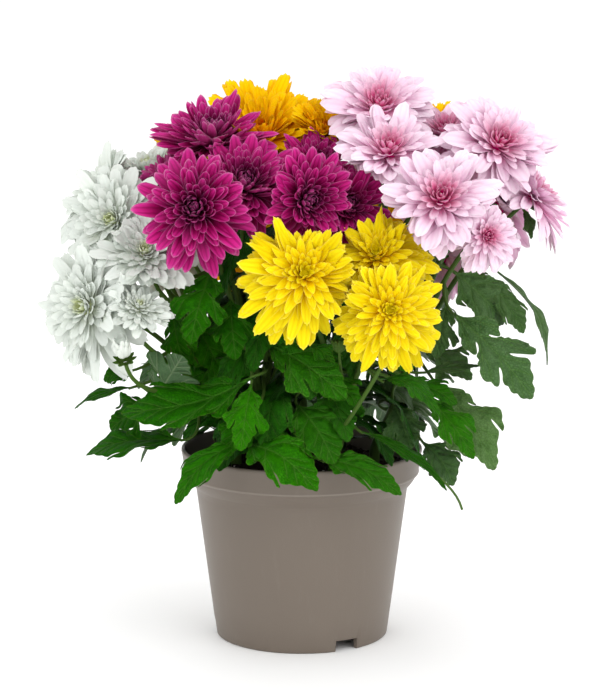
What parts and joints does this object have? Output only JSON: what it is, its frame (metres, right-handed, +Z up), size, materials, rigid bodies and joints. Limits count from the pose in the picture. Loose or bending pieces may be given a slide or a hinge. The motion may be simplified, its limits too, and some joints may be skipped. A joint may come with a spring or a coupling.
{
  "type": "potted chrysanthemum",
  "caption": "Potted chrysanthemum: plants in mixed colours with lobed leaves and double blooms, standing in a round taupe nursery pot.",
  "frame": {"origin": "on the pot's axis, at the level the pot stands on", "axes": "+Z up, -Y towards the front of the plant, +X to its right"},
  "size_m": [0.2901, 0.225, 0.33],
  "materials": {
    "pot": "satin",
    "soil": "matte",
    "foliage": "satin",
    "petals_white": "matte",
    "petals_magenta": "matte",
    "petals_orange": "matte",
    "petals_pink": "matte",
    "petals_yellow": "matte"
  },
  "bodies": {
    "root": {"bloom_magenta_back": "petals_magenta", "bloom_magenta_far": "petals_magenta", "bloom_magenta_front": "petals_magenta", "bloom_magenta_hidden": "petals_magenta", "bloom_magenta_middle": "petals_magenta", "bloom_magenta_right": "petals_magenta", "bloom_magenta_top": "petals_magenta", "bloom_orange_crown": "petals_orange", "bloom_orange_far": "petals_orange", "bloom_orange_main": "petals_orange", "bloom_orange_rear": "petals_orange", "bloom_orange_rear_left": "petals_orange", "bloom_orange_rear_low": "petals_orange", "bloom_orange_rear_right": "petals_orange", "bloom_orange_right": "petals_orange", "bloom_pink_behind": "petals_pink", "bloom_pink_front": "petals_pink", "bloom_pink_low": "petals_pink", "bloom_pink_rear": "petals_pink", "bloom_pink_rear_low": "petals_pink", "bloom_pink_rear_side": "petals_pink", "bloom_pink_right": "petals_pink", "bloom_pink_second": "petals_pink", "bloom_pink_side": "petals_pink", "bloom_pink_top": "petals_pink", "bloom_white_bud": "petals_white", "bloom_white_left": "petals_white", "bloom_white_low": "petals_white", "bloom_white_middle": "petals_white", "bloom_white_rear": "petals_white", "bloom_white_rear_low": "petals_white", "bloom_white_small": "petals_white", "bloom_white_top": "petals_white", "bloom_white_upper": "petals_white", "bloom_yellow_main": "petals_yellow", "bloom_yellow_right": "petals_yellow", "bloom_yellow_upper": "petals_yellow", "plant_magenta": "foliage", "plant_orange": "foliage", "plant_pink": "foliage", "plant_white": "foliage", "plant_yellow": "foliage", "pot": "pot", "soil": "soil"}
  },
  "joints": []
}
